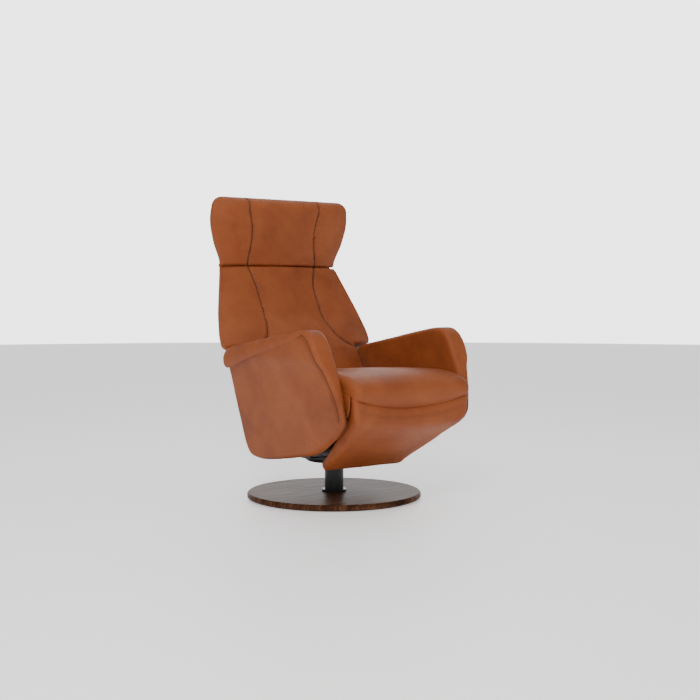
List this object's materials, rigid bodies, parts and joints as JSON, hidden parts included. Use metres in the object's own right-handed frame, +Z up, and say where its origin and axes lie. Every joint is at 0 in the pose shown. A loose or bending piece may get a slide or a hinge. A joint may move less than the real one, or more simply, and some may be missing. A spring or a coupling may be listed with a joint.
{
  "type": "recliner armchair",
  "caption": "Swivel relax armchair with reclining back, tilting winged headrest and fold-under footrest on a round wooden base.",
  "frame": {"origin": "on the floor, on the axis of the column, under the felt of the base", "axes": "+X to the sitter's left, -Y to the front, +Z up"},
  "size_m": [0.632, 0.844, 1.0485],
  "materials": {
    "leather": "cognac semi-aniline, satin, fine grain",
    "walnut": "dark walnut veneer, satin lacquer",
    "felt": "black felt",
    "black_steel": "satin black powder coat",
    "zinc_steel": "zinc plated",
    "button_metal": "satin",
    "nylon": "natural nylon",
    "black_plastic": "fine texture",
    "plywood": "raw birch plywood",
    "webbing": "woven elastic webbing"
  },
  "bodies": {
    "base": {"base_felt": "felt", "ballast_plate": "zinc_steel", "base_disc": "walnut", "base_bolts": "zinc_steel", "column_flange": "black_steel", "column_tube": "black_steel", "bush_lower": "nylon", "bush_upper": "nylon", "thrust_washer": "zinc_steel"},
    "seat": {"swivel_spindle": "zinc_steel", "spindle_clip": "zinc_steel", "carrier_dish": "black_steel", "mechanism_plate": "black_steel", "carrier_bolts": "zinc_steel", "rail_left": "black_steel", "rail_right": "black_steel", "cross_tube_front": "black_steel", "cross_tube_rear": "black_steel", "seat_frame": "plywood", "seat_webbing": "webbing", "seat_cushion": "leather", "arm_left": "leather", "arm_right": "leather", "arm_board_left": "plywood", "arm_board_right": "plywood", "arm_bracket_left": "black_steel", "arm_bracket_right": "black_steel", "arm_bolts": "zinc_steel", "back_pivot_pins": "zinc_steel", "gas_spring_cylinder": "black_steel", "spring_anchor": "black_steel", "footrest_shaft": "zinc_steel", "footrest_springs": "black_steel", "footrest_lock": "black_steel", "rear_apron": "leather", "button_housing": "black_plastic", "release_cable_back": "black_plastic", "release_cable_footrest": "black_plastic"},
    "back": {"back_board": "plywood", "back_bracket_left": "black_steel", "back_bracket_right": "black_steel", "recline_shaft": "black_steel", "lever_pin": "zinc_steel", "back_cushion": "leather", "back_shell": "leather", "headrest_hinge_lower": "black_steel", "headrest_hinge_pins": "zinc_steel"},
    "headrest": {"headrest_hinge_upper": "black_steel", "headrest_board": "plywood", "headrest_cushion": "leather", "headrest_shell": "leather"},
    "footrest": {"footrest_board": "plywood", "footrest_bracket_left": "black_steel", "footrest_bracket_right": "black_steel", "footrest_pad": "leather", "footrest_screws": "zinc_steel"},
    "spring_rod": {"gas_spring_rod": "zinc_steel"},
    "back_button": {"button_back": "button_metal"},
    "footrest_button": {"button_footrest": "button_metal"}
  },
  "joints": [
    {"name": "swivel", "type": "hinge", "parent": "base", "child": "seat", "pos_m": [0, 0, 0.128], "axis": [0, 0, 1], "continuous": true},
    {"name": "back_recline", "type": "hinge", "parent": "seat", "child": "back", "pos_m": [0, 0.14, 0.38], "axis": [-1, 0, 0], "range_deg": [0, 35]},
    {"name": "footrest_swing", "type": "hinge", "parent": "seat", "child": "footrest", "pos_m": [0, -0.414, 0.352], "axis": [-1, 0, 0], "range_deg": [0, 110]},
    {"name": "headrest_tilt", "type": "hinge", "parent": "back", "child": "headrest", "pos_m": [0, 0.34148, 0.80241], "axis": [1, 0, 0], "range_deg": [0, 30]},
    {"name": "spring_slide", "type": "slide", "parent": "seat", "child": "spring_rod", "axis": [0, -0.9279, -0.3729], "range_m": [0, 0.03157]},
    {"name": "back_button_push", "type": "slide", "parent": "seat", "child": "back_button", "axis": [-1, 0, 0], "range_m": [0, 0.004], "stiffness_N_per_m": 600, "springref_m": -0.001},
    {"name": "footrest_button_push", "type": "slide", "parent": "seat", "child": "footrest_button", "axis": [-1, 0, 0], "range_m": [0, 0.004], "stiffness_N_per_m": 600, "springref_m": -0.001}
  ],
  "couplings": [
    {"joint": "spring_slide", "follows": "back_recline", "m_per_rad": 0.051195}
  ]
}
